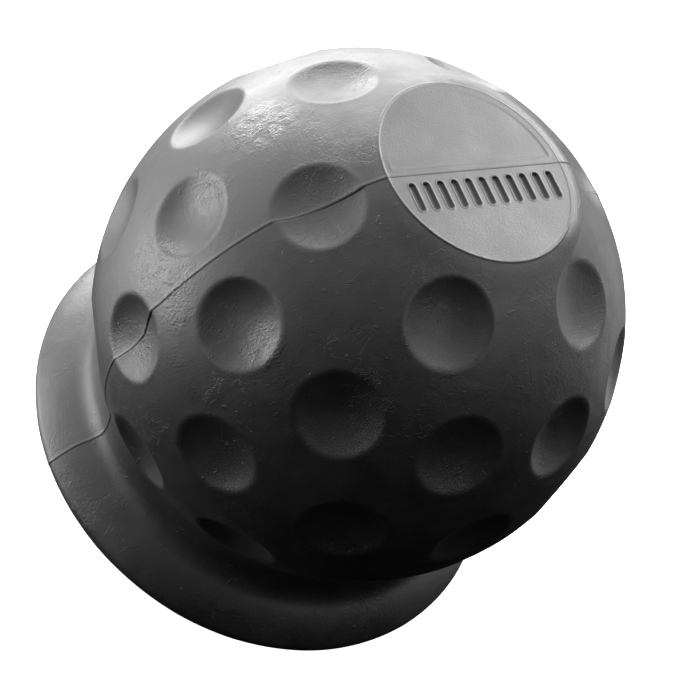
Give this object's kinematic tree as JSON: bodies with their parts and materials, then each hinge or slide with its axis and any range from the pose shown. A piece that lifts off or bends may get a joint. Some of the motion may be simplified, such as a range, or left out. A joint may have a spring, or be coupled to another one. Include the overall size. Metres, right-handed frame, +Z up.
{
  "type": "dimpled rubber ball cap",
  "caption": "Hollow soft-rubber ball cap with shallow dimples, a flat round top pad, a narrow neck and a flared collar that it stands on.",
  "frame": {"origin": "centre of the collar's flat foot, on the surface that the cap stands on", "axes": "+Z up the axis of the ball to its flat pad; the seam between the halves lies in the XZ plane; the marked half is on the -Y side"},
  "size_m": [0.0756, 0.0756, 0.0703],
  "materials": {
    "plain_half_rubber": "semi-gloss moulded rubber with a fine leathery grain",
    "marked_half_rubber": "satin moulded rubber with a fine leathery grain"
  },
  "bodies": {
    "root": {"plain_half_shell": "plain_half_rubber", "marked_half_shell": "marked_half_rubber"}
  },
  "joints": []
}
